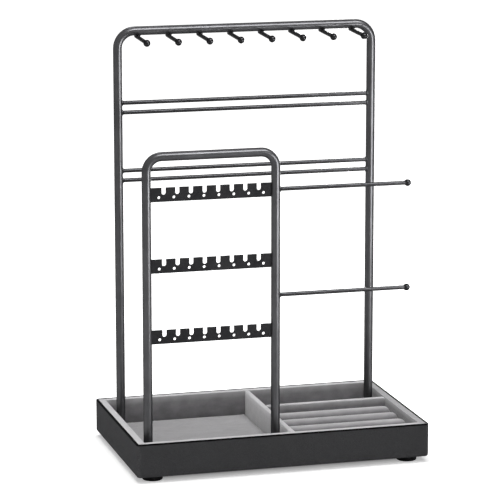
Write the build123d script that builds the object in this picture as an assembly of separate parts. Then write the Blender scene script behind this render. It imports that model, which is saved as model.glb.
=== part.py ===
from build123d import *
import os

# A desk stand for jewelry: a low velvet-lined tray on four rubber feet carries two
# frames bent from steel tube. The tall frame at the back holds eight ball-ended hooks
# and two pairs of crossbars. The short frame at the front holds three notched strips
# for earrings and two ball-ended rods for bracelets.
# Millimetres, +Z up, +X to the right and -Y to the front. The origin is the centre of
# the tray's outline, on the table.

# Tray shell
tray_length = 280.0
tray_depth = 175.0
tray_height = 31.8
tray_corner_radius = 3.5
tray_bottom_radius = 2.5
tray_rim_radius = 0.7
shell_wall = 2.0
shell_floor = 2.0

# Feet
foot_diameter = 19.0
foot_height = 5.0
foot_edge_radius = 1.2
foot_inset_x = 17.5
foot_inset_y = 14.5

# Base board and the lining that stands on it
board_thickness = 4.0
board_clearance = 0.2
lining_thickness = 6.5
lining_clearance = 0.1
lining_drop = 0.3
lining_edge_radius = 1.4

# Dividers
divider_thickness = 5.0
divider_edge_radius = 1.4
divider_clearance = 0.1
centre_divider_x = 10.0
cross_divider_y = 20.0

# Floor pads, cut round the frames' legs
pad_thickness = 3.0
pad_edge_radius = 0.8
pad_clearance = 0.3
pad_corner_radius = 1.5
leg_hole_clearance = 0.4

# Ring rolls on their card
ring_roll_count = 4
ring_roll_top = 20.3
ring_roll_gap = 0.3
ring_roll_undercut = 1.5
ring_roll_end_radius = 7.0
ring_roll_end_margin = 0.6
ring_card_thickness = 2.0

# Steel tube and rod
tube_diameter = 8.4
tube_wall = 1.0
rod_diameter = 3.8
ball_diameter = 6.6
weld_gap = 0.05
weld_leg = 0.9

# Tall frame, set by the gaps between its legs and the linings and from its plane to the back lining
necklace_wall_gap = 3.4
necklace_back_gap = 30.7
necklace_frame_rise = 385.9
necklace_bend_radius = 16.0
crossbar_pair_drops = (71.7, 135.9)
crossbar_spacing = 9.1

# Hooks under the tall frame's top bar
hook_count = 8
hook_end_gap = 3.15
hook_reach = 38.0
hook_tail = 5.0
hook_rise_angle = 2.0
hook_weld_sink = 0.3
hook_weld_length = 10.4
hook_weld_width = 5.6

# Short frame, set by the gaps beside its legs and from its plane to the front lining
earring_wall_gap = 4.5
earring_front_gap = 20.9
earring_frame_rise = 284.7
earring_bend_radius = 14.0

# Earring strips. The end gaps run from a leg to the middle of the nearest slot or hole
strip_count = 3
first_strip_drop = 34.9
strip_pitch = 65.9
strip_height = 13.0
strip_thickness = 1.2
slot_count = 8
slot_end_gap = 11.9
slot_width = 4.0
slot_depth = 6.5
post_hole_count = 8
post_hole_end_gap = 7.4
post_hole_diameter = 2.7
post_hole_above_edge = 4.0

# Bracelet rods, which end short of the right lining's face
bracelet_rod_end_gap = 5.6

# Leg fixings
insert_clearance = 0.05
insert_length = 12.0
insert_flange = 1.0
screw_diameter = 4.0
screw_length = 14.0
screw_running_gap = 0.05
screw_head_diameter = 8.0
screw_head_height = 2.6
screw_head_radius = 1.4
screw_recess_width = 1.1
screw_recess_span = 4.4
screw_recess_depth = 1.2
screw_hole_clearance = 0.3
washer_diameter = 9.0
washer_thickness = 0.8

# Levels and faces that several pieces share
tray_bottom = foot_height
tray_rim = tray_bottom + tray_height
board_bottom = tray_bottom + shell_floor
board_top = board_bottom + board_thickness
lining_top = tray_rim - lining_drop
tube_bottom = board_top + insert_flange
tube_radius = tube_diameter / 2
rod_radius = rod_diameter / 2

cavity_length = tray_length - 2 * shell_wall
cavity_depth = tray_depth - 2 * shell_wall
cavity_corner_radius = tray_corner_radius - shell_wall
lining_outer_length = cavity_length - 2 * lining_clearance
lining_outer_depth = cavity_depth - 2 * lining_clearance
inner_length = lining_outer_length - 2 * lining_thickness
inner_depth = lining_outer_depth - 2 * lining_thickness
inner_right = inner_length / 2
inner_left = -inner_right
inner_back = inner_depth / 2
inner_front = -inner_back

divider_left_face = centre_divider_x - divider_thickness / 2
divider_right_face = centre_divider_x + divider_thickness / 2
cross_front_face = cross_divider_y - divider_thickness / 2
cross_back_face = cross_divider_y + divider_thickness / 2

# The tall frame stands over the middle of the tray and the short one over the middle
# of the left compartment
necklace_frame_x = 0.0
necklace_frame_y = inner_back - necklace_back_gap
necklace_leg_spacing = inner_length - 2 * (necklace_wall_gap + tube_radius)
earring_frame_x = (inner_left + divider_left_face) / 2
earring_frame_y = inner_front + earring_front_gap
earring_leg_spacing = divider_left_face - inner_left - 2 * (earring_wall_gap + tube_radius)
strip_length = earring_leg_spacing - tube_diameter
bracelet_rod_reach = inner_right - bracelet_rod_end_gap - earring_frame_x - earring_leg_spacing / 2
hook_pitch = (necklace_leg_spacing - 2 * (necklace_bend_radius + hook_end_gap)) / (hook_count - 1)
slot_pitch = (strip_length - 2 * slot_end_gap) / (slot_count - 1)
post_hole_pitch = (strip_length - 2 * post_hole_end_gap) / (post_hole_count - 1)
necklace_bar_z = board_top + necklace_frame_rise
earring_bar_z = board_top + earring_frame_rise
strip_levels = [earring_bar_z - first_strip_drop - i * strip_pitch for i in range(strip_count)]
bracelet_rod_levels = [strip_levels[0], (strip_levels[1] + strip_levels[2]) / 2]
leg_points = [
    (necklace_frame_x - necklace_leg_spacing / 2, necklace_frame_y),
    (necklace_frame_x + necklace_leg_spacing / 2, necklace_frame_y),
    (earring_frame_x - earring_leg_spacing / 2, earring_frame_y),
    (earring_frame_x + earring_leg_spacing / 2, earring_frame_y),
]


def spread(count, pitch):
    """Evenly spaced places, centred on zero."""
    return [(i - (count - 1) / 2) * pitch for i in range(count)]


def slab(x_range, y_range, z_range, corner_radius=0.0):
    """A level plate between two limits on each axis, its upright corners rounded."""
    length = x_range[1] - x_range[0]
    depth = y_range[1] - y_range[0]
    middle = Pos(sum(x_range) / 2, sum(y_range) / 2, z_range[0])
    outline = RectangleRounded(length, depth, corner_radius) if corner_radius > 0 else Rectangle(length, depth)
    return extrude(middle * outline, z_range[1] - z_range[0])


def upright(point, diameter, z_range):
    """A vertical cylinder at a point of the plan."""
    middle = (z_range[0] + z_range[1]) / 2
    return Pos(point[0], point[1], middle) * Cylinder(diameter / 2, z_range[1] - z_range[0])


def edges_at(shape, level):
    """The edges that lie flat at a level."""
    return [e for e in shape.edges() if abs(e.bounding_box().min.Z - level) < 1e-4
            and abs(e.bounding_box().max.Z - level) < 1e-4]


def tray_shell():
    """The outer box, with its upright corners and its underside rounded."""
    x_range = (-tray_length / 2, tray_length / 2)
    y_range = (-tray_depth / 2, tray_depth / 2)
    box = slab(x_range, y_range, (tray_bottom, tray_rim), tray_corner_radius)
    box = fillet(edges_at(box, tray_bottom), tray_bottom_radius)
    box = fillet(edges_at(box, tray_rim), tray_rim_radius)
    cavity = slab((-cavity_length / 2, cavity_length / 2), (-cavity_depth / 2, cavity_depth / 2),
                  (board_bottom, tray_rim + shell_wall), cavity_corner_radius)
    box -= cavity
    for point in leg_points:
        box -= upright(point, screw_diameter + 2 * screw_hole_clearance, (tray_bottom - 1, board_bottom + 1))
    return box


def base_board():
    """The board inside the shell's floor that the legs stand on."""
    length = cavity_length - 2 * board_clearance
    depth = cavity_depth - 2 * board_clearance
    board = slab((-length / 2, length / 2), (-depth / 2, depth / 2), (board_bottom, board_top), cavity_corner_radius)
    for point in leg_points:
        board -= upright(point, screw_diameter + 2 * screw_hole_clearance, (board_bottom - 1, board_top + 1))
    return board


def lining_panels():
    """Four velvet-covered boards that line the walls, mitred at the corners."""
    half_length = lining_outer_length / 2
    half_depth = lining_outer_depth / 2
    ring = slab((-half_length, half_length), (-half_depth, half_depth), (board_top, lining_top), cavity_corner_radius)
    ring -= slab((inner_left, inner_right), (inner_front, inner_back), (board_top - 1, lining_top + 1))
    ring = fillet(edges_at(ring, lining_top), lining_edge_radius)
    reach = lining_thickness + 1
    mitres = {
        "front_lining": [(-half_length, -half_depth), (half_length, -half_depth),
                         (half_length - reach, -half_depth + reach), (-half_length + reach, -half_depth + reach)],
        "right_lining": [(half_length, -half_depth), (half_length, half_depth),
                         (half_length - reach, half_depth - reach), (half_length - reach, -half_depth + reach)],
        "back_lining": [(half_length, half_depth), (-half_length, half_depth),
                        (-half_length + reach, half_depth - reach), (half_length - reach, half_depth - reach)],
        "left_lining": [(-half_length, half_depth), (-half_length, -half_depth),
                        (-half_length + reach, -half_depth + reach), (-half_length + reach, half_depth - reach)],
    }
    panels = {}
    for name, corners in mitres.items():
        wedge = extrude(Pos(0, 0, board_top) * Polygon(*corners, align=None), lining_top - board_top)
        panels[name] = ring & wedge
    return panels


def divider(x_range, y_range):
    """A velvet-covered board across the tray, with soft top edges."""
    board = slab(x_range, y_range, (board_top, lining_top))
    long_axis = Axis.X if x_range[1] - x_range[0] > y_range[1] - y_range[0] else Axis.Y
    top_edges = [e for e in edges_at(board, lining_top) if abs(e.tangent_at(0.5).dot(long_axis.direction)) > 0.9]
    return fillet(top_edges, divider_edge_radius)


def centre_divider():
    """The divider from the back lining to the front one."""
    return divider((divider_left_face, divider_right_face),
                   (inner_front + divider_clearance, inner_back - divider_clearance))


def cross_divider():
    """The divider from the centre divider to the right lining."""
    return divider((divider_right_face + divider_clearance, inner_right - divider_clearance),
                   (cross_front_face, cross_back_face))


def floor_pad(x_range, y_range):
    """A thin velvet-covered foam pad on the base board, cut round the legs."""
    inner_x = (x_range[0] + pad_clearance, x_range[1] - pad_clearance)
    inner_y = (y_range[0] + pad_clearance, y_range[1] - pad_clearance)
    pad = slab(inner_x, inner_y, (board_top, board_top + pad_thickness), pad_corner_radius)
    pad = fillet(edges_at(pad, board_top + pad_thickness), pad_edge_radius)
    for x, y in leg_points:
        if inner_x[0] < x < inner_x[1] and inner_y[0] < y < inner_y[1]:
            pad -= upright((x, y), tube_diameter + 2 * leg_hole_clearance, (board_top - 1, board_top + pad_thickness + 1))
    return pad


def ring_card():
    """The card under the ring rolls."""
    return slab((divider_right_face + pad_clearance, inner_right - pad_clearance),
                (inner_front + pad_clearance, cross_front_face - pad_clearance),
                (board_top, board_top + ring_card_thickness))


def ring_rolls():
    """Foam rolls side by side: round on top, drawn in at the foot, with rounded ends."""
    length = inner_right - divider_right_face - 2 * pad_clearance
    pitch = (cross_front_face - inner_front - 2 * pad_clearance) / ring_roll_count
    radius = (pitch - ring_roll_gap) / 2
    foot_level = board_top + ring_card_thickness
    shoulder = ring_roll_top + board_top - foot_level - radius
    foot_half = radius - ring_roll_undercut
    outline = (
        Line((-foot_half, 0), (foot_half, 0))
        + TangentArc((radius, shoulder), (foot_half, 0), tangent=(0, -1))
        + ThreePointArc((radius, shoulder), (0, shoulder + radius), (-radius, shoulder))
        + TangentArc((-radius, shoulder), (-foot_half, 0), tangent=(0, -1))
    )
    start = divider_right_face + pad_clearance
    bolster = Pos(start, 0, 0) * extrude(Plane.YZ * make_face(outline), length)
    half_width = radius + ring_roll_end_margin
    pillow = slab((start, start + length), (-half_width, half_width), (0, shoulder + half_width))
    pillow = fillet([e for e in pillow.edges() if e.bounding_box().size.X < 1e-4 and e.bounding_box().max.Z > 1e-4],
                    ring_roll_end_radius)
    roll = bolster & pillow
    middle_y = (cross_front_face + inner_front) / 2
    places = sorted(spread(ring_roll_count, pitch), reverse=True)
    return {f"ring_roll_{i + 1}": Pos(0, middle_y + y, foot_level) * roll for i, y in enumerate(places)}


def bent_tube(spacing, bar_level, bend_radius, middle_x, frame_y, diameter):
    """A round bar of the given diameter along a frame's route: up one leg, across and down the other."""
    left = middle_x - spacing / 2
    right = middle_x + spacing / 2
    route = FilletPolyline((left, frame_y, tube_bottom), (left, frame_y, bar_level), (right, frame_y, bar_level),
                           (right, frame_y, tube_bottom), radius=bend_radius)
    section = Plane(origin=route @ 0, z_dir=route % 0) * Circle(diameter / 2)
    return sweep(section, route)


def frame_tube(solid_size, **route):
    """The tube itself, open at both lower ends."""
    return bent_tube(diameter=solid_size, **route) - bent_tube(diameter=solid_size - 2 * tube_wall, **route)


necklace_route = {"spacing": necklace_leg_spacing, "bar_level": necklace_bar_z, "bend_radius": necklace_bend_radius,
                  "middle_x": necklace_frame_x, "frame_y": necklace_frame_y}
earring_route = {"spacing": earring_leg_spacing, "bar_level": earring_bar_z, "bend_radius": earring_bend_radius,
                 "middle_x": earring_frame_x, "frame_y": earring_frame_y}
necklace_envelope = bent_tube(diameter=tube_diameter + 2 * weld_gap, **necklace_route)
earring_envelope = bent_tube(diameter=tube_diameter + 2 * weld_gap, **earring_route)


def welded_rod(start, length, weld_both_ends):
    """A rod along +X from the axis of the leg that carries it, with a cone of weld where it leaves the leg."""
    near = tube_radius
    far = length - tube_radius
    thick = rod_radius + weld_leg
    outline = [(0, 0), (0, thick), (near, thick), (near + weld_leg, rod_radius)]
    if weld_both_ends:
        outline += [(far - weld_leg, rod_radius), (far, thick), (length, thick), (length, 0)]
    else:
        outline += [(length, rod_radius), (length, 0)]
    return Pos(*start) * revolve(Plane.XZ * make_face(Polyline(*outline, close=True)), Axis.X)


def crossbars():
    """Two pairs of bars across the tall frame, coped to the legs."""
    bars = {}
    left = necklace_frame_x - necklace_leg_spacing / 2
    for pair, drop in zip(("upper", "lower"), crossbar_pair_drops):
        for side, offset in (("top", crossbar_spacing / 2), ("bottom", -crossbar_spacing / 2)):
            level = necklace_bar_z - drop + offset
            bar = welded_rod((left, necklace_frame_y, level), necklace_leg_spacing, True)
            bars[f"{pair}_pair_{side}_crossbar"] = bar - necklace_envelope
    return bars


def ball(centre, along, rod):
    """A ball on a rod's end, turned to the rod's axis and bored for it."""
    return Plane(origin=centre, z_dir=along) * Sphere(ball_diameter / 2) - rod


def hooks():
    """Ball-ended rods welded under the top bar, tipped up a little towards the front."""
    drop = tube_radius + rod_radius - hook_weld_sink
    tip = Rot(hook_rise_angle, 0, 0)
    rod = Pos(0, (hook_tail - hook_reach) / 2, -drop) * Rot(90, 0, 0) * Cylinder(rod_radius, hook_reach + hook_tail)
    bore = Pos(0, (hook_tail - hook_reach) / 2, -drop) * Rot(90, 0, 0) * Cylinder(
        rod_radius + weld_gap, hook_reach + hook_tail)
    weld_root = Pos(0, 0, -tube_radius / 2) * Ellipse(hook_weld_length / 2, hook_weld_width / 2)
    weld_foot = Pos(0, 0, -drop) * Ellipse(rod_radius * 1.1, rod_radius)
    weld = loft([weld_root, weld_foot])
    one_rod = tip * (rod + weld)
    one_ball = tip * ball((0, -hook_reach, -drop), (0, 1, 0), bore)
    rods = []
    balls = []
    for x in spread(hook_count, hook_pitch):
        place = Pos(necklace_frame_x + x, necklace_frame_y, necklace_bar_z)
        rods.append(place * one_rod - necklace_envelope)
        balls.append(place * one_ball)
    return {"necklace_hooks": Compound(children=rods), "necklace_hook_balls": Compound(children=balls)}


def earring_strips():
    """Flat strips across the short frame: slots along the top edge, small holes along the bottom one."""
    outline = Rectangle(earring_leg_spacing, strip_height)
    straight = slot_depth - slot_width / 2
    for x in spread(slot_count, slot_pitch):
        outline -= Pos(x, strip_height / 2 - straight / 2) * Rectangle(slot_width, straight)
        outline -= Pos(x, strip_height / 2 - straight) * Circle(slot_width / 2)
    for x in spread(post_hole_count, post_hole_pitch):
        outline -= Pos(x, post_hole_above_edge - strip_height / 2) * Circle(post_hole_diameter / 2)
    blank = extrude(Plane.XZ * outline, strip_thickness / 2, both=True)
    return {f"earring_strip_{i + 1}": Pos(earring_frame_x, earring_frame_y, level) * blank - earring_envelope
            for i, level in enumerate(strip_levels)}


def bracelet_rods():
    """Two rods that reach right from the short frame's inner leg, each with a ball on its end."""
    pieces = {}
    leg_x = earring_frame_x + earring_leg_spacing / 2
    for name, level in zip(("upper", "lower"), bracelet_rod_levels):
        rod = welded_rod((leg_x, earring_frame_y, level), bracelet_rod_reach, False)
        bore = Pos(leg_x + bracelet_rod_reach / 2, earring_frame_y, level) * Rot(0, 90, 0) * Cylinder(
            rod_radius + weld_gap, bracelet_rod_reach)
        pieces[f"{name}_bracelet_rod"] = rod - earring_envelope
        middle = (leg_x + bracelet_rod_reach, earring_frame_y, level)
        pieces[f"{name}_bracelet_rod_ball"] = ball(middle, (1, 0, 0), bore)
    return pieces


def leg_inserts():
    """Threaded plugs in the legs' lower ends. Each leg stands on its plug's flange."""
    plug_diameter = tube_diameter - 2 * tube_wall - 2 * insert_clearance
    plug = upright((0, 0), plug_diameter, (tube_bottom, tube_bottom + insert_length))
    plug += upright((0, 0), tube_diameter, (board_top, tube_bottom))
    plug -= upright((0, 0), screw_diameter + 2 * screw_running_gap, (board_top - 1, tube_bottom + insert_length + 1))
    return Compound(children=[Pos(x, y, 0) * plug for x, y in leg_points])


def leg_washers():
    """Washers under the tray."""
    washer = upright((0, 0), washer_diameter, (tray_bottom - washer_thickness, tray_bottom))
    washer -= upright((0, 0), screw_diameter + 2 * screw_hole_clearance, (0, tray_bottom + 1))
    return Compound(children=[Pos(x, y, 0) * washer for x, y in leg_points])


def leg_screws():
    """Pan-head screws up through the tray into the legs."""
    seat = tray_bottom - washer_thickness
    lowest = seat - screw_head_height
    head = upright((0, 0), screw_head_diameter, (lowest, seat))
    head = fillet(edges_at(head, lowest), screw_head_radius)
    screw = head + upright((0, 0), screw_diameter, (lowest + screw_recess_depth, seat + screw_length))
    middle = Pos(0, 0, lowest + screw_recess_depth / 2)
    recess = middle * Box(screw_recess_span, screw_recess_width, screw_recess_depth)
    recess += middle * Box(screw_recess_width, screw_recess_span, screw_recess_depth)
    screw -= recess
    return Compound(children=[Pos(x, y, 0) * screw for x, y in leg_points])


def feet():
    """Rubber feet near the corners, rounded where they meet the table."""
    foot = upright((0, 0), foot_diameter, (0, foot_height))
    foot = fillet(edges_at(foot, 0), foot_edge_radius)
    x = tray_length / 2 - foot_inset_x
    y = tray_depth / 2 - foot_inset_y
    return {
        "front_left_foot": Pos(-x, -y, 0) * foot,
        "front_right_foot": Pos(x, -y, 0) * foot,
        "back_left_foot": Pos(-x, y, 0) * foot,
        "back_right_foot": Pos(x, y, 0) * foot,
    }


nodes = {
    "tray_shell": tray_shell(),
    "base_board": base_board(),
    **lining_panels(),
    "centre_divider": centre_divider(),
    "cross_divider": cross_divider(),
    "left_floor_pad": floor_pad((inner_left, divider_left_face), (inner_front, inner_back)),
    "rear_floor_pad": floor_pad((divider_right_face, inner_right), (cross_back_face, inner_back)),
    "ring_card": ring_card(),
    **ring_rolls(),
    "necklace_frame": frame_tube(tube_diameter, **necklace_route),
    **crossbars(),
    **hooks(),
    "earring_frame": frame_tube(tube_diameter, **earring_route),
    **earring_strips(),
    **bracelet_rods(),
    "leg_inserts": leg_inserts(),
    "leg_washers": leg_washers(),
    "leg_screws": leg_screws(),
    **feet(),
}

os.makedirs("parts", exist_ok=True)
for name, shape in nodes.items():
    export_step(shape, f"parts/{name}.step")
print(f"{len(nodes)} nodes")
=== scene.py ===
"""Looks of the jewelry stand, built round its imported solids.

The tray's leather-cloth box, the steel frames and the fixings keep their solids and
get their finishes here. The velvet-covered boards, the foam pads and the ring rolls
are modelled again as soft goods. Lengths are in metres.
"""

import logging
import math
from collections.abc import Callable, Iterator, Mapping, Sequence
from contextlib import contextmanager
from dataclasses import dataclass, field
from enum import Enum
from typing import Any

import bmesh
import bpy
from mathutils import Matrix, Vector, noise


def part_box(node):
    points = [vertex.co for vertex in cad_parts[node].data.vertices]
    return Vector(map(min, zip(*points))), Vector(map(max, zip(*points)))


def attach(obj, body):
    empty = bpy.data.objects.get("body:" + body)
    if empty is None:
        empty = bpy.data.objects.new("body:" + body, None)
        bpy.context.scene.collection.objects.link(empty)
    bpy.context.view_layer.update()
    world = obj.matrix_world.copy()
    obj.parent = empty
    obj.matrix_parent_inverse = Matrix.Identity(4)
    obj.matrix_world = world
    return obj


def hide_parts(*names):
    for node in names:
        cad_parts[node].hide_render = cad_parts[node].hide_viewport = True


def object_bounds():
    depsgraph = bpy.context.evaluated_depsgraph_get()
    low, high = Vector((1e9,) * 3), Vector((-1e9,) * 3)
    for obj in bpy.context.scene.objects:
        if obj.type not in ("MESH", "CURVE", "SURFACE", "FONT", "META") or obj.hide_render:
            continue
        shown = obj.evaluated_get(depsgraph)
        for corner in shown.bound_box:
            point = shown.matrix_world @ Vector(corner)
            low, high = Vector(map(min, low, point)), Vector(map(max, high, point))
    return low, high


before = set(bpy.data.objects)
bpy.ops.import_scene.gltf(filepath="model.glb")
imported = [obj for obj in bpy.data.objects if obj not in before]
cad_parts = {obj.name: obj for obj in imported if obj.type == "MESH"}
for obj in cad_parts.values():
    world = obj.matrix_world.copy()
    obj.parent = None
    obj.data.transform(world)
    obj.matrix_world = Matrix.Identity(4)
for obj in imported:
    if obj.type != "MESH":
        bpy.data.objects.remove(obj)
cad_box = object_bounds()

log = logging.getLogger("jewelry_stand")

MM = 0.001
TOUCH = 1e-6  # two places this near count as one
NEAR = 1e-5  # the same, for points that operators have moved
ROOT = "root"
PAINTED_LIGHT_ATTRIBUTE = "painted_light"  # attribute that holds the velvet's painted light and shade

Colour = tuple[float, float, float]
Point = tuple[float, float, float]


class Pick(Enum):
    """What an edit-mode selection takes."""

    POINTS = "VERT"
    EDGES = "EDGE"


class Slot(Enum):
    """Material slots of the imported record."""

    SHELL = "shell_leather"
    BOARD = "board_wood"
    VELVET = "velvet"
    STEEL = "coated_steel"
    MATTE = "matte_steel"
    GLOSS = "gloss_steel"
    ZINC = "zinc_steel"
    RUBBER = "foot_rubber"


# Shader arithmetic


class Signal:
    """A shader socket that takes part in arithmetic.

    Args:
        graph: The graph that owns the socket.
        socket: The output socket that carries the value, or None on a node without one.
    """

    def __init__(self, graph: "Graph", socket: bpy.types.NodeSocket | None) -> None:
        """Keeps the socket and its graph."""
        self.graph = graph
        self.socket = socket

    def _math(self, operation: str, *values: "Signal | float") -> "Signal":
        """Adds one Math node on the given values."""
        settings = {"operation": operation}
        return self.graph.node("ShaderNodeMath", settings, dict(enumerate(values)))

    def __add__(self, other: "Signal | float") -> "Signal":
        """Sum."""
        return self._math("ADD", self, other)

    def __radd__(self, other: float) -> "Signal":
        """Sum with a number on the left."""
        return self._math("ADD", other, self)

    def __sub__(self, other: "Signal | float") -> "Signal":
        """Difference."""
        return self._math("SUBTRACT", self, other)

    def __rsub__(self, other: float) -> "Signal":
        """Difference from a number."""
        return self._math("SUBTRACT", other, self)

    def __mul__(self, other: "Signal | float") -> "Signal":
        """Product."""
        return self._math("MULTIPLY", self, other)

    def __rmul__(self, other: float) -> "Signal":
        """Product with a number on the left."""
        return self._math("MULTIPLY", other, self)

    def __abs__(self) -> "Signal":
        """Size without its sign."""
        return self._math("ABSOLUTE", self)


@dataclass
class Graph:
    """One material's node tree.

    Args:
        tree: The node tree to fill.
    """

    tree: bpy.types.NodeTree

    def node(
        self,
        kind: str,
        settings: Mapping[str, Any] | None = None,
        inputs: Mapping[str | int, Any] | None = None,
        output: str | int = 0,
    ) -> Signal:
        """Adds a node, sets it up and feeds it.

        Args:
            kind: The node's type name.
            settings: Properties of the node, set first. The key "stops" fills a colour ramp.
            inputs: Values, or signals to link, by socket name or number.
            output: The output socket to hand back.

        Returns:
            The chosen output as a signal.
        """
        made = self.tree.nodes.new(kind)
        for name, value in (settings or {}).items():
            if name == "stops":
                self._fill_ramp(made.color_ramp, value)
            else:
                setattr(made, name, value)
        for name, value in (inputs or {}).items():
            if isinstance(value, Signal):
                self.tree.links.new(value.socket, made.inputs[name])
            else:
                made.inputs[name].default_value = value
        return Signal(self, made.outputs[output] if len(made.outputs) else None)

    @staticmethod
    def _fill_ramp(ramp: bpy.types.ColorRamp, stops: Sequence[tuple[float, float]]) -> None:
        """Sets a grey ramp's stops.

        Args:
            ramp: The ramp of a new node.
            stops: Places and grey levels, from left to right.
        """
        while len(ramp.elements) < len(stops):
            ramp.elements.new(0.5)
        for element, (place, level) in zip(ramp.elements, stops):
            element.position = place
            element.color = (level, level, level, 1.0)

    def place(self) -> Signal:
        """Object coordinates of the shaded point."""
        return self.node("ShaderNodeTexCoord", output="Object")

    def along(self, axis: str) -> Signal:
        """Object coordinate on one axis."""
        inputs = {"Vector": self.place()}
        return self.node("ShaderNodeSeparateXYZ", inputs=inputs, output=axis)

    def rise(self, value: Signal, start: float, end: float) -> Signal:
        """Climbs softly from 0 at one value to 1 at another.

        Args:
            value: The value to follow.
            start: Where the climb starts.
            end: Where it ends.

        Returns:
            The climb.
        """
        settings = {"interpolation_type": "SMOOTHSTEP"}
        inputs = {"Value": value, "From Min": start, "From Max": end}
        return self.node("ShaderNodeMapRange", settings, inputs)

    def stretched(self, scale: Point) -> Signal:
        """Object coordinates, scaled by axis."""
        return self.node("ShaderNodeMapping", inputs={"Vector": self.place(), "Scale": scale})

    def cloud(
        self,
        scale: float,
        detail: float = 3.0,
        roughness: float = 0.5,
        where: Signal | None = None,
    ) -> Signal:
        """Soft noise from 0 to 1.

        Args:
            scale: Features per metre.
            detail: Octaves.
            roughness: Weight of the finer octaves.
            where: Coordinates, or the object's own.

        Returns:
            The noise value.
        """
        inputs = {
            "Vector": where or self.place(),
            "Scale": scale,
            "Detail": detail,
            "Roughness": roughness,
        }
        return self.node("ShaderNodeTexNoise", inputs=inputs)

    def ramp(self, value: Signal, *stops: tuple[float, float]) -> Signal:
        """Maps a value through grey stops."""
        return self.node("ShaderNodeValToRGB", {"stops": stops}, {0: value})

    def mix(self, factor: Signal, first: Signal | Colour, second: Colour) -> Signal:
        """A colour between two colours.

        Args:
            factor: How much of the second colour there is.
            first: The first colour, or a signal that carries it.
            second: The second colour.

        Returns:
            The mixed colour.
        """
        start = first if isinstance(first, Signal) else (*first, 1.0)
        inputs = {0: factor, 6: start, 7: (*second, 1.0)}
        return self.node("ShaderNodeMix", {"data_type": "RGBA"}, inputs, 2)

    def bump(self, height: Signal, depth: float, strength: float) -> Signal:
        """A bumped normal.

        Args:
            height: The height field, from 0 to 1.
            depth: Its depth in metres.
            strength: How much of it shows.

        Returns:
            The normal.
        """
        inputs = {"Height": height, "Distance": depth, "Strength": strength}
        return self.node("ShaderNodeBump", inputs=inputs)


# Finishes


@dataclass(frozen=True)
class Finish:
    """What every finish has.

    Args:
        name: The material's name.
        dark: Its darker tone.
        light: Its lighter tone.
        constants: Sockets of the Principled shader that are the same all over.
    """

    name: str
    dark: Colour
    light: Colour
    constants: tuple[tuple[str, Any], ...] = ()

    def signals(self, graph: Graph) -> dict[str, Signal]:
        """Gives what varies over the surface.

        Args:
            graph: The material's graph.

        Returns:
            The signals, by the shader's socket names.
        """
        raise NotImplementedError

    def build(self) -> bpy.types.Material:
        """Makes the material.

        Returns:
            The finished material.
        """
        material = bpy.data.materials.new(self.name)
        material.use_nodes = True
        tree = material.node_tree
        tree.nodes.clear()
        graph = Graph(tree)
        inputs = {**dict(self.constants), **self.signals(graph)}
        shader = graph.node("ShaderNodeBsdfPrincipled", inputs=inputs)
        graph.node("ShaderNodeOutputMaterial", inputs={"Surface": shader})
        return material


@dataclass(frozen=True)
class PowderCoat(Finish):
    """Satin powder coat: an even gunmetal charcoal with a fine orange peel.

    Args:
        gloss: Lowest roughness of the coat.
    """

    name: str = "charcoal_powder_coat"
    dark: Colour = (0.053, 0.053, 0.0555)
    light: Colour = (0.071, 0.071, 0.0745)
    gloss: float = 0.24
    constants: tuple[tuple[str, Any], ...] = (
        ("Metallic", 0.5),
        ("Specular IOR Level", 0.01),
        ("Specular Tint", (0.2, 0.2, 0.2, 1.0)),
    )

    def signals(self, graph: Graph) -> dict[str, Signal]:
        """Tone, gloss and peel.

        Args:
            graph: The material's graph.

        Returns:
            The signals, by the shader's socket names.
        """
        tone = graph.cloud(60.0, 4.0)
        peel = graph.cloud(2600.0, 2.0)
        drift = graph.cloud(180.0, 3.0)
        patches = graph.ramp(tone, (0.3, 0.0), (0.7, 1.0))
        return {
            "Base Color": graph.mix(patches, self.dark, self.light),
            "Roughness": self.gloss + drift * 0.06 + peel * 0.04,
            "Normal": graph.bump(peel * 0.7 + drift * 0.3, 0.00002, 0.12),
        }


@dataclass(frozen=True)
class ShadedRodCoat(PowderCoat):
    """The same coat on thin rods, painted darker there as painted shade."""

    name: str = "shaded_charcoal_rod_coat"
    dark: Colour = (0.030, 0.030, 0.032)
    light: Colour = (0.042, 0.042, 0.044)
    gloss: float = 0.14


@dataclass(frozen=True)
class MatteCoat(PowderCoat):
    """The flat strips' matte black coat."""

    name: str = "matte_black_coat"
    dark: Colour = (0.011, 0.011, 0.012)
    light: Colour = (0.018, 0.018, 0.019)
    gloss: float = 0.45


@dataclass(frozen=True)
class GlossDip(Finish):
    """The balls' dipped gloss coat."""

    name: str = "gloss_black_dip"
    dark: Colour = (0.012, 0.012, 0.013)
    light: Colour = (0.018, 0.018, 0.019)
    constants: tuple[tuple[str, Any], ...] = (
        ("Metallic", 0.95),
        ("Specular Tint", (0.3, 0.3, 0.3, 1.0)),
    )

    def signals(self, graph: Graph) -> dict[str, Signal]:
        """Tone and a glassy skin.

        Args:
            graph: The material's graph.

        Returns:
            The signals, by the shader's socket names.
        """
        drift = graph.cloud(300.0, 3.0)
        return {
            "Base Color": graph.mix(drift, self.dark, self.light),
            "Roughness": 0.14 + drift * 0.06,
            "Normal": graph.bump(drift, 0.00003, 0.4),
        }


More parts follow.
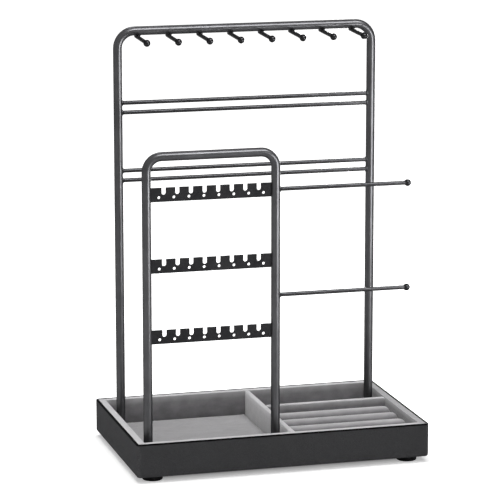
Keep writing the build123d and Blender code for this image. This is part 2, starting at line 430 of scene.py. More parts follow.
@dataclass(frozen=True)
class LeatherCloth(Finish):
    """Fine-grained leather cloth: pebbles with darker valleys, painted shade along the rim, a
    painted highlight on the corners.

    Args:
        pebbles: Pebbles per metre.
        waver: How far their outlines stray.
        fold_and_shade: Colour along the rim: the cloth's folded edge, with painted shade.
        fold_start: Height at which it starts to darken.
        fold_end: Height from which it is darkest.
        corner_highlight: Colour of the painted highlight on the box's rounded corners.
        highlight_reach: How far the painted highlight reaches from a corner.
        highlight_edge: Distance from a corner within which it is strongest.
        highlight_depth: How strong it gets.
    """

    name: str = "charcoal_leather_cloth"
    dark: Colour = (0.043, 0.043, 0.045)
    light: Colour = (0.075, 0.075, 0.078)
    pebbles: float = 900.0
    waver: float = 1.6 * MM
    fold_and_shade: Colour = (0.004, 0.004, 0.0045)
    fold_start: float = 35.2 * MM
    fold_end: float = 36.0 * MM
    corner_highlight: Colour = (0.105, 0.105, 0.108)
    highlight_reach: float = 4.5 * MM
    highlight_edge: float = 1.0 * MM
    highlight_depth: float = 0.55
    constants: tuple[tuple[str, Any], ...] = (("Specular IOR Level", 0.003),)

    def signals(self, graph: Graph) -> dict[str, Signal]:
        """Grain, tone and gloss, with painted shade along the rim and a painted highlight on the
        corners.

        Args:
            graph: The material's graph.

        Returns:
            The signals, by the shader's socket names.
        """
        inputs = {"Vector": graph.place(), "Scale": 300.0}
        warp = graph.node("ShaderNodeTexNoise", inputs=inputs, output=1)
        settings = {"operation": "MULTIPLY_ADD"}
        inputs = {0: warp, 1: (self.waver,) * 3, 2: graph.place()}
        where = graph.node("ShaderNodeVectorMath", settings, inputs)
        settings = {"feature": "DISTANCE_TO_EDGE"}
        inputs = {"Vector": where, "Scale": self.pebbles}
        valleys = graph.node("ShaderNodeTexVoronoi", settings, inputs)
        height = graph.ramp(valleys, (0.0, 0.0), (0.22, 0.8), (0.5, 1.0))
        tone = graph.cloud(25.0, 5.0)
        # Painted shade along the rim, with the cloth's folded edge.
        folded_and_shaded = graph.rise(graph.along("Z"), self.fold_start, self.fold_end)
        # Painted highlight on the rounded corners, on the pebbles' tops.
        corner_highlight_mask = height * self.highlight_depth
        for axis, half in (("X", cad_box[1][0]), ("Y", cad_box[1][1])):
            start, end = half - self.highlight_reach, half - self.highlight_edge
            corner_highlight_mask = corner_highlight_mask * graph.rise(abs(graph.along(axis)), start, end)
        cloth = graph.mix(height * 0.5 + tone * 0.5, self.dark, self.light)
        cloth = graph.mix(corner_highlight_mask, cloth, self.corner_highlight)
        return {
            "Base Color": graph.mix(folded_and_shaded, cloth, self.fold_and_shade),
            "Roughness": 0.62 - height * 0.12 + tone * 0.08,
            "Normal": graph.bump(height, 0.00018, 0.55),
        }


@dataclass(frozen=True)
class Velvet(Finish):
    """Short-pile velvet: brushed patches and speckled pile, with painted light: paler tops and
    darker sides.

    Args:
        painted_light: Colour of the painted highlight over the tops.
    """

    name: str = "light_grey_velvet"
    dark: Colour = (0.095, 0.092, 0.097)
    light: Colour = (0.225, 0.220, 0.227)
    painted_light: Colour = (0.66, 0.652, 0.665)
    constants: tuple[tuple[str, Any], ...] = (
        ("Roughness", 0.95),
        ("Specular IOR Level", 0.005),
        ("Sheen Weight", 1.0),
        ("Sheen Roughness", 0.4),
    )

    def signals(self, graph: Graph) -> dict[str, Signal]:
        """Brushed tone and pile, with painted light and shade.

        Args:
            graph: The material's graph.

        Returns:
            The signals, by the shader's socket names.
        """
        brushed = graph.cloud(85.0, 4.0, 0.6, graph.stretched((1.0, 1.9, 1.4)))
        patches = graph.ramp(brushed, (0.32, 0.0), (0.68, 1.0))
        pile = graph.cloud(3200.0, 2.0, 0.7)
        fuzz = graph.cloud(1100.0, 3.0, 0.7)
        # The stored attribute is painted light and shade: paler tops, darker sides.
        stretched = graph.node("ShaderNodeAttribute", {"attribute_name": PAINTED_LIGHT_ATTRIBUTE}, output="Fac")
        # Where the painted light is below 0, as painted shade, the pale patches fade and the
        # velvet is darker.
        painted_shade_factor = graph.rise(stretched, -0.2, 0.0) * 0.4 + graph.rise(stretched, 0.0, 0.2) * 0.6
        speckle = patches * 0.5 + pile * 0.3 + fuzz * 0.2
        nap = graph.mix(speckle * painted_shade_factor, self.dark, self.light)
        # Painted highlight: the colour turns pale where the painted light is high.
        painted_highlight_mix = stretched * (0.8 + fuzz * 0.2 + patches * 0.2)
        return {
            "Base Color": graph.mix(painted_highlight_mix, nap, self.painted_light),
            "Normal": graph.bump(pile * 0.5 + fuzz * 0.5, 0.0003, 0.35),
        }


@dataclass(frozen=True)
class Rubber(Finish):
    """Matte moulded rubber with a little dust."""

    name: str = "black_rubber"
    dark: Colour = (0.012, 0.012, 0.013)
    light: Colour = (0.028, 0.028, 0.028)
    constants: tuple[tuple[str, Any], ...] = (("Specular IOR Level", 0.01),)

    def signals(self, graph: Graph) -> dict[str, Signal]:
        """Dust, gloss and a moulded skin.

        Args:
            graph: The material's graph.

        Returns:
            The signals, by the shader's socket names.
        """
        dust = graph.cloud(220.0, 4.0, 0.6)
        skin = graph.cloud(1800.0, 2.0)
        settled = graph.ramp(dust, (0.45, 0.0), (0.8, 1.0))
        return {
            "Base Color": graph.mix(settled, self.dark, self.light),
            "Roughness": 0.62 + dust * 0.2,
            "Normal": graph.bump(skin, 0.00008, 0.5),
        }


@dataclass(frozen=True)
class Zinc(Finish):
    """Bright zinc plate with turning marks."""

    name: str = "bright_zinc"
    dark: Colour = (0.46, 0.47, 0.50)
    light: Colour = (0.68, 0.69, 0.71)
    constants: tuple[tuple[str, Any], ...] = (("Metallic", 1.0),)

    def signals(self, graph: Graph) -> dict[str, Signal]:
        """Plating tone and turning marks.

        Args:
            graph: The material's graph.

        Returns:
            The signals, by the shader's socket names.
        """
        marks = graph.cloud(900.0, 3.0, 0.6, graph.stretched((1.0, 1.0, 9.0)))
        tone = graph.cloud(160.0, 4.0)
        return {
            "Base Color": graph.mix(tone * 0.6 + marks * 0.4, self.dark, self.light),
            "Roughness": 0.24 + marks * 0.16,
            "Normal": graph.bump(marks, 0.00003, 0.5),
        }


@dataclass(frozen=True)
class Fibreboard(Finish):
    """Dark pressed fibreboard, seen only in the seams between pads."""

    name: str = "pressed_fibreboard"
    dark: Colour = (0.12, 0.112, 0.104)
    light: Colour = (0.22, 0.208, 0.196)
    constants: tuple[tuple[str, Any], ...] = (("Specular IOR Level", 0.3),)

    def signals(self, graph: Graph) -> dict[str, Signal]:
        """Fibres and tone.

        Args:
            graph: The material's graph.

        Returns:
            The signals, by the shader's socket names.
        """
        fibres = graph.cloud(1400.0, 4.0, 0.7, graph.stretched((1.0, 0.25, 1.0)))
        tone = graph.cloud(40.0, 3.0)
        return {
            "Base Color": graph.mix(fibres * 0.6 + tone * 0.4, self.dark, self.light),
            "Roughness": 0.74 + fibres * 0.12,
            "Normal": graph.bump(fibres, 0.00012, 0.5),
        }


class Palette:
    """Every finish of the stand, built once, by record slot."""

    def __init__(self) -> None:
        """Builds the materials."""
        finishes = {
            Slot.STEEL: PowderCoat(),
            Slot.MATTE: MatteCoat(),
            Slot.GLOSS: GlossDip(),
            Slot.SHELL: LeatherCloth(),
            Slot.VELVET: Velvet(),
            Slot.RUBBER: Rubber(),
            Slot.ZINC: Zinc(),
            Slot.BOARD: Fibreboard(),
        }
        self.materials = {slot: finish.build() for slot, finish in finishes.items()}
        self.shaded_rod_coat = ShadedRodCoat().build()

    def dress(self, piece: bpy.types.Object, slot: Slot) -> None:
        """Gives a piece its slot's finish all over."""
        self._cover(piece, self.materials[slot])

    def coat_rod_shaded(self, rod: bpy.types.Object) -> None:
        """Gives thin steel rods the coat painted darker, as painted shade."""
        self._cover(rod, self.shaded_rod_coat)

    @staticmethod
    def _cover(piece: bpy.types.Object, material: bpy.types.Material) -> None:
        """Puts one material on a piece and reports the piece.

        Args:
            piece: The piece to dress.
            material: Its material.
        """
        piece.data.materials.clear()
        piece.data.materials.append(material)
        log.info("%s: %s, %d faces", piece.name, material.name, len(piece.data.polygons))


# Modelling bench


class Bench:
    """Modelling operators that work on one object at a time, as by hand."""

    @staticmethod
    def clear() -> None:
        """Leaves edit mode and deselects everything."""
        if bpy.context.mode != "OBJECT":
            bpy.ops.object.mode_set(mode="OBJECT")
        bpy.ops.object.select_all(action="DESELECT")

    @classmethod
    def take(cls, piece: bpy.types.Object) -> None:
        """Makes one object the only one selected, and active.

        Args:
            piece: The object to take.
        """
        cls.clear()
        piece.select_set(True)
        bpy.context.view_layer.objects.active = piece

    @staticmethod
    def name_new(name: str) -> bpy.types.Object:
        """Names the object just added and puts its place into its mesh.

        Args:
            name: The piece's name.

        Returns:
            The named object.
        """
        piece = bpy.context.object
        piece.name = name
        piece.data.name = name
        bpy.ops.object.transform_apply(location=True, rotation=True, scale=True)
        return piece

    @classmethod
    def block(cls, name: str, low: Vector, high: Vector) -> bpy.types.Object:
        """Adds a block between two corners.

        Args:
            name: The piece's name.
            low: Its lowest corner.
            high: Its highest corner.

        Returns:
            The block.
        """
        cls.clear()
        bpy.ops.mesh.primitive_cube_add(size=1.0, location=(low + high) / 2)
        bpy.context.object.scale = high - low
        return cls.name_new(name)

    @classmethod
    @contextmanager
    def editing(cls, piece: bpy.types.Object) -> Iterator[None]:
        """Edit mode on one object, with nothing selected at first.

        Args:
            piece: The object to edit.

        Yields:
            Nothing, once the object is in edit mode.
        """
        cls.take(piece)
        bpy.ops.object.mode_set(mode="EDIT")
        bpy.ops.mesh.select_all(action="DESELECT")
        yield
        bpy.ops.object.mode_set(mode="OBJECT")

    @staticmethod
    def pick(piece: bpy.types.Object, kind: Pick, test: Callable[[Vector], bool]) -> None:
        """Selects by place, in edit mode.

        Args:
            piece: The object in edit mode.
            kind: Points or edges.
            test: Takes a point, or an edge's middle.
        """
        bpy.ops.mesh.select_mode(type=kind.value)
        bpy.ops.mesh.select_all(action="DESELECT")
        mesh = bmesh.from_edit_mesh(piece.data)
        if kind is Pick.POINTS:
            found = [(point, point.co) for point in mesh.verts]
        else:
            found = [(edge, (edge.verts[0].co + edge.verts[1].co) / 2) for edge in mesh.edges]
        for element, middle in found:
            if test(middle):
                element.select_set(True)
        mesh.select_flush_mode()
        bmesh.update_edit_mesh(piece.data)

    @classmethod
    def apply(cls, piece: bpy.types.Object, kind: str, **settings: Any) -> None:
        """Adds a modifier, sets it up and applies it.

        Args:
            piece: The object to change.
            kind: The modifier's type name.
            settings: Its properties.
        """
        cls.take(piece)
        modifier = piece.modifiers.new(kind.title(), kind)
        for name, value in settings.items():
            setattr(modifier, name, value)
        bpy.ops.object.modifier_apply(modifier=modifier.name)

    @classmethod
    def smooth(cls, piece: bpy.types.Object, degrees: float) -> None:
        """Shades smooth, but for edges sharper than an angle."""
        cls.take(piece)
        bpy.ops.object.shade_smooth_by_angle(angle=math.radians(degrees))

    @staticmethod
    def copy(piece: bpy.types.Object, name: str, shift: Vector) -> bpy.types.Object:
        """Copies a piece with a mesh of its own.

        Args:
            piece: The piece to copy.
            name: The copy's name.
            shift: How far the copy is moved.

        Returns:
            The copy.
        """
        twin = piece.copy()
        twin.data = piece.data.copy()
        twin.name = name
        twin.data.name = name
        twin.data.transform(Matrix.Translation(shift))
        bpy.context.scene.collection.objects.link(twin)
        return twin


# Soft goods


@dataclass(frozen=True)
class Upholstery:
    """Soft swelling of foam under cloth, by a short simulation.

    Args:
        frames: Frames that the simulation runs.
        steps: Steps that it takes in each frame.
        voxel: Mesh size that the form is rebuilt at.
        weight: Mass of a point of the cloth.
        stiffness: How hard the cloth is to stretch and to press together.
        shear: How hard it is to skew.
        bending: How hard it is to fold.
        pressure: Pressure of the foam.
        cap: How far a point may move.
    """

    frames: int = 20
    steps: int = 6
    voxel: float = 2.4 * MM
    weight: float = 0.2
    stiffness: float = 12.0
    shear: float = 6.0
    bending: float = 0.4
    pressure: float = 4.0
    cap: float = 0.7 * MM

    def swell(self, piece: bpy.types.Object, base_level: float) -> None:
        """Swells a closed form whose base stays put.

        Args:
            piece: The closed form, a little smaller than the finished one.
            base_level: Points at or below this height don't move.
        """
        before = [point.co.copy() for point in piece.data.vertices]
        held = piece.vertex_groups.new(name="held")
        held.add([i for i, at in enumerate(before) if at.z <= base_level], 1.0, "REPLACE")
        Bench.take(piece)
        modifier = piece.modifiers.new("Swell", "CLOTH")
        cloth = modifier.settings
        cloth.quality = self.steps
        cloth.mass = self.weight
        cloth.tension_stiffness = self.stiffness
        cloth.compression_stiffness = self.stiffness
        cloth.shear_stiffness = self.shear
        cloth.bending_stiffness = self.bending
        cloth.use_pressure = True
        cloth.uniform_pressure_force = self.pressure
        cloth.effector_weights.gravity = 0.0
        cloth.vertex_group_mass = held.name
        for number in range(1, self.frames + 1):
            bpy.context.scene.frame_set(number)
        bpy.ops.object.modifier_apply(modifier=modifier.name)
        for point, start in zip(piece.data.vertices, before):
            moved = point.co - start
            if moved.length > self.cap:
                point.co = start + moved * (self.cap / moved.length)
        piece.vertex_groups.clear()
        bpy.context.scene.frame_set(1)


@dataclass(frozen=True)
class PaintedShading:
    """Painted light and shade on a velvet piece: paler towards its top, set piece by piece.

    Args:
        sides: How much painted light the sides get. Below 0 they get painted shade.
        top: How much painted highlight the top gets.
        foot: Painted light of the sides at the foot.
        climb: How much it grows up to the top, which paints the sides darker towards the foot.
        painted_light: Painted highlight that the top adds.
        sharpness: How near to the top that stays.
    """

    sides: float = 1.0
    top: float = 1.0
    foot: float = 0.06
    climb: float = 0.28
    painted_light: float = 0.66
    sharpness: int = 8

    def light_at(self, level: float) -> float:
        """Painted light and shade at a level from 0 at the foot to 1 at the top."""
        side = self.sides * (self.foot + self.climb * level)
        return side + self.top * self.painted_light * level**self.sharpness


def paint_light_and_shade(piece: bpy.types.Object, low: Vector, high: Vector, shading: PaintedShading) -> None:
    """Stores painted light and shade at each point of a covered piece.

    Args:
        piece: The finished piece.
        low: Its lowest corner.
        high: Its highest corner.
        shading: Its painted light and shade.
    """
    layer = piece.data.attributes.new(PAINTED_LIGHT_ATTRIBUTE, "FLOAT", "POINT")
    for point, value in zip(piece.data.vertices, layer.data):
        level = (point.co.z - low.z) / (high.z - low.z)
        value.value = shading.light_at(min(max(level, 0.0), 1.0))


def seat(piece: bpy.types.Object, slot: Slot, palette: Palette, node: str) -> None:
    """Dresses a new piece and ties it to the stand.

    Args:
        piece: The finished piece.
        slot: The record slot of its finish.
        palette: The stand's finishes.
        node: The solid that the piece stands for.
    """
    palette.dress(piece, slot)
    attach(piece, ROOT)
    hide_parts(node)


# The stand


@dataclass
class Tray:
    """The open tray: leather-cloth box, lined walls, dividers, pads and ring rolls.

    Args:
        palette: The stand's finishes.
        board_edge: Radius of the soft top edges of lined boards.
        board_crease: Gap where two covered boards meet.
        board_cell: Mesh size along a board.
        board_levels: Where a board's mesh is cut across, from 0 at its foot to 1 at its top.
        board_smooth: Angle up to which a board's edges are shaded smooth, in degrees.
        nap: How uneven the covered boards are.
        nap_scale: How close together their unevenness lies.
        pad_cell: Mesh size of the floor pads.
        pad_start: How much thinner a pad starts than the space it fills.
        pad_edge: Width of a pad's softened top edge.
        pad_smooth: Angle up to which a pad's edges are shaded smooth, in degrees.
        pad_shading: Painted light on a pad, even all over.
        leg_clearance: Room between a leg and the pad's cut-out.
        leg_sides: Sides of that cut-out.
        leg_depth: How deep the cutter reaches, more than a pad's thickness.
        roll_nodes: The solids of the ring rolls, from the back.
        roll_slack: How much smaller a roll starts than the space it fills.
        roll_sides: Sides of the drum that a roll is shaped from.
        roll_foot: How far above the card a roll's foot starts.
        roll_end: Width of a roll's pillowed ends.
        roll_grip: Height above the card below which the foam stays put.
        roll_shading: Painted light on a roll: a highlight along its top.
        upholstery: How the pads and rolls swell.
    """

    palette: Palette
    board_edge: float = 1.5 * MM
    board_crease: float = 0.15 * MM
    board_cell: float = 6.0 * MM
    board_levels: tuple[float, ...] = (0.25, 0.5, 0.75)
    board_smooth: float = 50.0
    nap: float = 0.22 * MM
    nap_scale: float = 90.0
    pad_cell: float = 3.2 * MM
    pad_start: float = 0.5 * MM
    pad_edge: float = 0.9 * MM
    pad_smooth: float = 40.0
    pad_shading: PaintedShading = PaintedShading(foot=0.36, climb=0.0, painted_light=0.0)
    leg_clearance: float = 0.3 * MM
    leg_sides: int = 48
    leg_depth: float = 20.0 * MM
    roll_nodes: tuple[str, ...] = ("ring_roll_1", "ring_roll_2", "ring_roll_3", "ring_roll_4")
    roll_slack: float = 0.12 * MM
    roll_sides: int = 40
    roll_foot: float = 0.2 * MM
    roll_end: float = 6.0 * MM
    roll_grip: float = 1.5 * MM
    roll_shading: PaintedShading = PaintedShading(foot=0.04, climb=0.0, painted_light=0.82, sharpness=14)
    upholstery: Upholstery = field(default_factory=Upholstery)

    def build(self) -> None:
        """Makes every piece of the tray in order."""
        self.palette.dress(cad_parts["tray_shell"], Slot.SHELL)
        for node in ("base_board", "ring_card"):
            self.palette.dress(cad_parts[node], Slot.BOARD)
        self.linings()
        self.dividers()
        self.pads()
        self.rolls()

    def covered_board(
        self,
        node: str,
        shading: PaintedShading,
        cuts: Sequence[tuple[Vector, Vector]] = (),
    ) -> None:
        """A board wrapped in velvet: soft top edges and a slightly uneven cover.

        Args:
            node: The solid that the board stands for.
            shading: Its painted light and shade.
            cuts: Planes, as point and outward normal, that trim its ends.
        """
        low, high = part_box(node)
        board = Bench.block(f"velvet_{node}", low, high)
        size = high - low
        run, direction = (size.x, (1, 0, 0)) if size.x > size.y else (size.y, (0, 1, 0))
        steps = int(run / self.board_cell)
        slices = [(step / steps, direction) for step in range(1, steps)]
        slices += [(level, (0, 0, 1)) for level in self.board_levels]
        with Bench.editing(board):
            for point, normal in cuts:
                bpy.ops.mesh.select_all(action="SELECT")
                bpy.ops.mesh.bisect(
                    plane_co=point, plane_no=normal, use_fill=True, clear_outer=True
                )
            Bench.pick(board, Pick.EDGES, lambda at: at.z > high.z - TOUCH)
            bpy.ops.mesh.bevel(
                offset=self.board_edge, segments=5, affect="EDGES", clamp_overlap=True
            )
            for part, across in slices:
                bpy.ops.mesh.select_all(action="SELECT")
                bpy.ops.mesh.bisect(plane_co=low.lerp(high, part), plane_no=across)
            bpy.ops.mesh.select_all(action="SELECT")
            bpy.ops.mesh.remove_doubles(threshold=TOUCH)
            bpy.ops.mesh.normals_make_consistent(inside=False)
        self.ruffle(board, low.z)
        Bench.smooth(board, self.board_smooth)
        paint_light_and_shade(board, low, high, shading)
        seat(board, Slot.VELVET, self.palette, node)

    def ruffle(self, board: bpy.types.Object, foot: float) -> None:
        """Lays the cover unevenly, inside the board's own space.

        Args:
            board: The board.
            foot: Height of its lower edge, which stays straight.
        """
        for point in board.data.vertices:
            swell = 0.5 + 0.5 * noise.noise(point.co * self.nap_scale)
            inward = -point.normal * self.nap * swell
            if point.co.z > foot + NEAR:
                point.co += inward

    def linings(self) -> None:
        """Four mitred wall linings."""
        left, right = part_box("left_lining")[1].x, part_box("right_lining")[0].x
        front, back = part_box("front_lining")[1].y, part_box("back_lining")[0].y
        corners = {
            "front_lining": (((left, front), (-1, 1)), ((right, front), (1, 1))),
            "back_lining": (((left, back), (-1, -1)), ((right, back), (1, -1))),
            "left_lining": (((left, front), (1, -1)), ((left, back), (1, 1))),
            "right_lining": (((right, front), (-1, -1)), ((right, back), (-1, 1))),
        }
        # Painted light and shade per lining: the right lining's sides are painted dark.
        shadings = {
            "front_lining": PaintedShading(),
            "back_lining": PaintedShading(sides=0.8),
            "left_lining": PaintedShading(top=1.2),
            "right_lining": PaintedShading(sides=-1.0, top=1.35),
        }
        for node, ends in corners.items():
            cuts = []
            for (x, y), (along, across) in ends:
                normal = Vector((along, across, 0)).normalized()
                cuts.append((Vector((x, y, 0)) - normal * self.board_crease, normal))
            self.covered_board(node, shadings[node], cuts)

    def dividers(self) -> None:
        """The long divider and the short one."""
        # Painted light per divider: the long one's sides paler, the short one's sides darker and
        # its top paler.
        self.covered_board("centre_divider", PaintedShading(sides=1.8))
        self.covered_board("cross_divider", PaintedShading(sides=0.5, top=1.15))

    def pads(self) -> None:
        """Thin foam pads on the floor, cut round the legs."""
        for node in ("left_floor_pad", "rear_floor_pad"):
            low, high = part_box(node)
            pad = self.floor_pad(f"velvet_{node}", low, high)
            seat(pad, Slot.VELVET, self.palette, node)

    def floor_pad(self, name: str, low: Vector, high: Vector) -> bpy.types.Object:
        """One pad: an even slab that swells, then is cut round the legs.

        Args:
            name: The piece's name.
            low: Its lowest corner.
            high: Its highest corner.

        Returns:
            The pad.
        """
        size = high - low
        middle = (low + high) / 2
        Bench.clear()
        bpy.ops.mesh.primitive_grid_add(
            x_subdivisions=int(size.x / self.pad_cell),
            y_subdivisions=int(size.y / self.pad_cell),
            size=1.0,
            location=(middle.x, middle.y, low.z),
        )
        bpy.context.object.scale = (size.x, size.y, 1.0)
        pad = Bench.name_new(name)
        rise = size.z - self.pad_start

        def on_edge(at: Vector) -> bool:
            """Whether a place lies on the top's outline."""
            inset = min(at.x - low.x, high.x - at.x, at.y - low.y, high.y - at.y)
            return at.z > low.z + rise - TOUCH and inset < TOUCH

        with Bench.editing(pad):
            bpy.ops.mesh.select_all(action="SELECT")
            bpy.ops.mesh.extrude_region_move(TRANSFORM_OT_translate={"value": (0, 0, rise)})
            bpy.ops.mesh.select_all(action="SELECT")
            bpy.ops.mesh.normals_make_consistent(inside=False)
            Bench.pick(pad, Pick.EDGES, on_edge)
            bpy.ops.mesh.bevel(offset=self.pad_edge, segments=3, affect="EDGES")
        self.upholstery.swell(pad, low.z + TOUCH)
        for x, y, radius in leg_places():
            if low.x < x < high.x and low.y < y < high.y:
                self.bore(pad, (x, y, middle.z), radius + self.leg_clearance)
        Bench.smooth(pad, self.pad_smooth)
        paint_light_and_shade(pad, low, high, self.pad_shading)
        return pad

    def bore(self, pad: bpy.types.Object, at: Point, radius: float) -> None:
        """Cuts a round hole through a pad.

        Args:
            pad: The pad.
            at: The hole's middle.
            radius: Its radius.
        """
        Bench.clear()
        bpy.ops.mesh.primitive_cylinder_add(
            vertices=self.leg_sides, radius=radius, depth=self.leg_depth, location=at
        )
        punch = Bench.name_new("punch")
        Bench.apply(pad, "BOOLEAN", object=punch, operation="DIFFERENCE", solver="EXACT")
        bpy.data.objects.remove(punch)

    def rolls(self) -> None:
        """Ring rolls side by side: one is modelled, the others are copied from it."""
        first = self.roll_nodes[0]
        low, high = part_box(first)
        rolls = [self.ring_roll(f"velvet_{first}", low, high)]
        for node in self.roll_nodes[1:]:
            rolls.append(Bench.copy(rolls[0], f"velvet_{node}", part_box(node)[0] - low))
        for roll, node in zip(rolls, self.roll_nodes):
            seat(roll, Slot.VELVET, self.palette, node)

    def ring_roll(self, name: str, low: Vector, high: Vector) -> bpy.types.Object:
        """One roll: a half-round bolster with pillowed ends, swelled from a smaller form.

        Args:
            name: The piece's name.
            low: Its lowest corner.
            high: Its highest corner.

        Returns:
            The roll.
        """
        radius = (high.y - low.y) / 2 - self.roll_slack
        length = high.x - low.x - 2 * self.roll_slack
        axis_level = high.z - self.roll_slack - radius
        middle = (low + high) / 2
        Bench.clear()
        bpy.ops.mesh.primitive_cylinder_add(
            vertices=self.roll_sides,
            radius=radius,
            depth=length,
            location=(middle.x, middle.y, axis_level),
            rotation=(0, math.pi / 2, 0),
        )
        roll = Bench.name_new(name)
        with Bench.editing(roll):
            Bench.pick(roll, Pick.POINTS, lambda at: at.z < axis_level - NEAR)
            bpy.ops.transform.resize(
                value=(1, 1, (axis_level - low.z) / radius),
                center_override=(middle.x, middle.y, axis_level),
            )
            bpy.ops.mesh.select_all(action="SELECT")
            bpy.ops.mesh.bisect(
                plane_co=(0, 0, low.z + self.roll_foot),
                plane_no=(0, 0, -1),
                use_fill=True,
                clear_outer=True,
            )
            Bench.pick(roll, Pick.EDGES, lambda at: abs(at.x - middle.x) > length / 2 - NEAR)
            bpy.ops.mesh.bevel(
                offset=self.roll_end, segments=6, affect="EDGES", clamp_overlap=True
            )
        Bench.apply(roll, "REMESH", mode="VOXEL", voxel_size=self.upholstery.voxel)
        self.upholstery.swell(roll, low.z + self.roll_grip)
        Bench.apply(roll, "SUBSURF", levels=1, render_levels=1)
        self.keep_inside(roll, low, high)
        Bench.take(roll)
        bpy.ops.object.shade_smooth()
        paint_light_and_shade(roll, low, high, self.roll_shading)
        return roll

    @staticmethod
    def keep_inside(piece: bpy.types.Object, low: Vector, high: Vector) -> None:
        """Holds a soft form inside the space that its solid fills.

        Args:
            piece: The soft form.
            low: That space's lowest corner.
            high: Its highest corner.
        """
        for point in piece.data.vertices:
            for axis in range(3):
                point.co[axis] = min(max(point.co[axis], low[axis]), high[axis])


def leg_places() -> list[tuple[float, float, float]]:
    """Where the frames' legs stand.

    Returns:
        Each leg's x, y and radius.
    """
    places = []
    for node in ("necklace_frame", "earring_frame"):
        low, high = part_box(node)
        radius = (high.y - low.y) / 2
        places += [(x, (low.y + high.y) / 2, radius) for x in (low.x + radius, high.x - radius)]
    return places


@dataclass
class Frames:
    """The bent steel frames with their bars, hooks, strips and rods.

    Args:
        palette: The stand's finishes.
        tubes: The two bent tubes.
        rods: Thin rods welded to them.
        strips: Flat earring strips.
        balls: Balls on the rods' free ends.
    """

    palette: Palette
    tubes: tuple[str, ...] = ("necklace_frame", "earring_frame")
    rods: tuple[str, ...] = (
        "upper_pair_top_crossbar",
        "upper_pair_bottom_crossbar",
        "lower_pair_top_crossbar",
        "lower_pair_bottom_crossbar",
        "necklace_hooks",
        "upper_bracelet_rod",
        "lower_bracelet_rod",
    )
    strips: tuple[str, ...] = ("earring_strip_1", "earring_strip_2", "earring_strip_3")
    balls: tuple[str, ...] = (
        "necklace_hook_balls",
        "upper_bracelet_rod_ball",
        "lower_bracelet_rod_ball",
    )

    def build(self) -> None:
        """Coats the steel."""
        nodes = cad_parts
        groups = {Slot.STEEL: self.tubes, Slot.MATTE: self.strips, Slot.GLOSS: self.balls}
        for slot, names in groups.items():
            for name in names:
                self.palette.dress(nodes[name], slot)
        for name in self.rods:
            self.palette.coat_rod_shaded(nodes[name])


@dataclass
class Fixings:
    """Screws, washers and plugs under the tray, and the rubber feet.

    Args:
        palette: The stand's finishes.
    """

    palette: Palette

    def build(self) -> None:
        """Dresses the metal and the rubber."""
        for node in ("leg_screws", "leg_washers", "leg_inserts"):
            self.palette.dress(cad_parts[node], Slot.ZINC)
        for corner in ("front_left", "front_right", "back_left", "back_right"):
            self.palette.dress(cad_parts[f"{corner}_foot"], Slot.RUBBER)


# The studio


class Shine(Enum):
    """Which surfaces a lamp works on."""

    MATT = "matt"
    GLOSS = "gloss"


@dataclass(frozen=True)
class Lamp:
    """One soft box that only lights, or a bright card that only the gloss shows.

    Args:
        name: The lamp's name.
        at: Where it hangs.
        towards: The point that it faces.
        width: Its width.
        height: Its height.
        power: Its power in watts.
        shine: Which surfaces it works on.
    """

    name: str
    at: Point
    towards: Point
    width: float
    height: float
    power: float
    shine: Shine


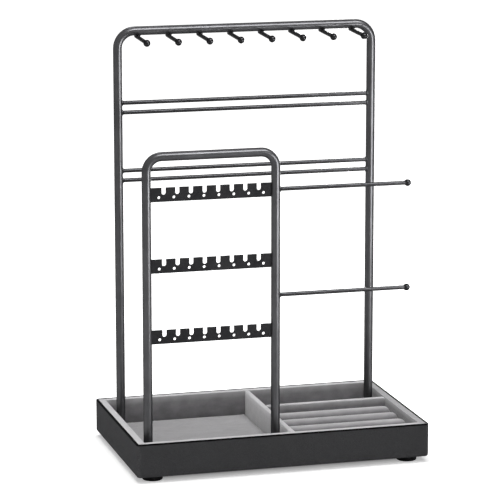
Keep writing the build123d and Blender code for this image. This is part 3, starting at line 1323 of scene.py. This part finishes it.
@dataclass
class Studio:
    """Floor, world, lamps and camera.

    Args:
        eye: The camera's place.
        yaw: Its turn to the right, in degrees.
        pitch: Its tilt down, in degrees.
        lens: Its focal length in millimetres.
        sensor: Its sensor's width in millimetres.
        view_end: How far it sees.
        ambient: Strength of the world's own light.
        floor_size: Width of the floor.
        paper: How pale the floor is.
        shade_start: Distance from the tray's outline, under it, at which the floor's glow is
            least: a painted shadow.
        shade_end: Distance from which it is white.
        shade: The glow between the two, as places and grey levels, which paints a shadow round
            the tray.
        lamps: The soft boxes and the bright cards.
    """

    eye: Point = (-0.68773, -2.42471, 0.70542)
    yaw: float = 15.62988
    pitch: float = 11.50065
    lens: float = 197.409
    sensor: float = 36.0
    view_end: float = 60.0
    ambient: float = 0.12
    floor_size: float = 14.0
    paper: Colour = (0.8, 0.8, 0.8)
    shade_start: float = -24.0 * MM
    shade_end: float = 36.0 * MM
    shade: tuple[tuple[float, float], ...] = ((0.0, 0.03), (0.2, 0.38), (0.42, 0.45), (1.0, 1.0))
    lamps: tuple[Lamp, ...] = (
        Lamp("overhead_box", (0.0, 0.0, 2.0), (0.0, 0.0, 0.1), 1.6, 1.2, 36.0, Shine.MATT),
        Lamp("front_box", (-0.2, -1.5, 1.3), (0.0, 0.0, 0.1), 1.4, 0.8, 10.0, Shine.MATT),
        Lamp("left_box", (-1.6, 0.1, 0.6), (0.0, 0.0, 0.1), 1.0, 1.0, 3.4, Shine.MATT),
        Lamp("top_card", (0.456, -1.0, 1.69), (0.0, 0.0, 0.3), 1.4, 0.7, 76.0, Shine.GLOSS),
        Lamp("back_top_card", (0.0, 1.0, 1.7), (0.0, 0.0, 0.3), 0.45, 0.7, 16.0, Shine.GLOSS),
        Lamp("back_card", (0.5, 0.87, 0.2), (0.0, 0.0, 0.2), 0.35, 0.43, 11.0, Shine.GLOSS),
        Lamp("right_card", (0.56, -0.67, 0.20), (0.0, 0.0, 0.2), 0.46, 0.43, 15.0, Shine.GLOSS),
    )

    def build(self) -> None:
        """Sets the whole studio up."""
        self.floor()
        self.world()
        for lamp in self.lamps:
            self.hang(lamp)
        self.camera()
        bpy.context.scene.view_settings.view_transform = "Standard"

    @staticmethod
    def seen_directly(graph: Graph) -> Signal:
        """Tells rays from the camera, from a mirror and through glass from the others.

        Args:
            graph: The floor's or the world's graph.

        Returns:
            One for those rays, and nothing for the others.
        """
        names = ("Is Camera Ray", "Is Glossy Ray", "Is Transmission Ray")
        camera, mirror, glass = (graph.node("ShaderNodeLightPath", output=name) for name in names)
        return graph.node("ShaderNodeClamp", inputs={0: camera + mirror + glass})

    def floor(self) -> None:
        """A pale floor that runs out to white, keeps the lamps' shadow and has a painted shadow
        in its glow round the tray.
        """
        Bench.clear()
        bpy.ops.mesh.primitive_grid_add(x_subdivisions=4, y_subdivisions=4, size=self.floor_size)
        floor = Bench.name_new("studio_floor")
        material = bpy.data.materials.new("studio_floor")
        material.use_nodes = True
        tree = material.node_tree
        tree.nodes.clear()
        graph = Graph(tree)
        paper = graph.node("ShaderNodeBsdfDiffuse", inputs={"Color": (*self.paper, 1.0)})
        beyond_x = abs(graph.along("X")) - cad_box[1][0]
        beyond_y = abs(graph.along("Y")) - cad_box[1][1]
        gap = graph.node("ShaderNodeMath", {"operation": "MAXIMUM"}, {0: beyond_x, 1: beyond_y})
        away = (gap - self.shade_start) * (1.0 / (self.shade_end - self.shade_start))
        # Painted shadow: the glow fades towards the tray's outline and under it.
        glow = graph.node("ShaderNodeEmission", inputs={"Color": graph.ramp(away, *self.shade)})
        lit = graph.node("ShaderNodeAddShader", inputs={0: paper, 1: glow})
        inputs = {0: self.seen_directly(graph), 1: paper, 2: lit}
        mixed = graph.node("ShaderNodeMixShader", inputs=inputs)
        graph.node("ShaderNodeOutputMaterial", inputs={"Surface": mixed})
        floor.data.materials.append(material)

    def world(self) -> None:
        """White where it is seen, softer where it lights."""
        world = bpy.data.worlds.new("studio")
        bpy.context.scene.world = world
        world.use_nodes = True
        tree = world.node_tree
        tree.nodes.clear()
        graph = Graph(tree)
        strength = self.seen_directly(graph) * (1.0 - self.ambient) + self.ambient
        inputs = {"Color": (1.0, 1.0, 1.0, 1.0), "Strength": strength}
        sky = graph.node("ShaderNodeBackground", inputs=inputs)
        graph.node("ShaderNodeOutputWorld", inputs={"Surface": sky})

    @staticmethod
    def hang(lamp: Lamp) -> None:
        """Hangs one soft box or card.

        Args:
            lamp: What it is and where it hangs.
        """
        light = bpy.data.lights.new(lamp.name, "AREA")
        light.shape = "RECTANGLE"
        light.size = lamp.width
        light.size_y = lamp.height
        light.energy = lamp.power
        box = bpy.data.objects.new(lamp.name, light)
        box.location = lamp.at
        aim = Vector(lamp.towards) - Vector(lamp.at)
        box.rotation_euler = aim.to_track_quat("-Z", "Y").to_euler()
        box.visible_camera = False
        box.visible_diffuse = lamp.shine is Shine.MATT
        box.visible_glossy = lamp.shine is Shine.GLOSS
        bpy.context.scene.collection.objects.link(box)

    def camera(self) -> None:
        """The camera, at the photograph's viewing angle."""
        data = bpy.data.cameras.new("camera")
        data.lens = self.lens
        data.sensor_width = self.sensor
        data.clip_end = self.view_end
        eye = bpy.data.objects.new("camera", data)
        eye.location = self.eye
        eye.rotation_euler = (math.radians(90.0 - self.pitch), 0.0, math.radians(-self.yaw))
        bpy.context.scene.collection.objects.link(eye)
        bpy.context.scene.camera = eye


def main() -> None:
    """Builds the stand's looks and the studio."""
    logging.basicConfig(level=logging.INFO, format="%(name)s %(message)s")
    palette = Palette()
    Studio().build()
    Tray(palette).build()
    Frames(palette).build()
    Fixings(palette).build()


if __name__ == "__main__":
    main()
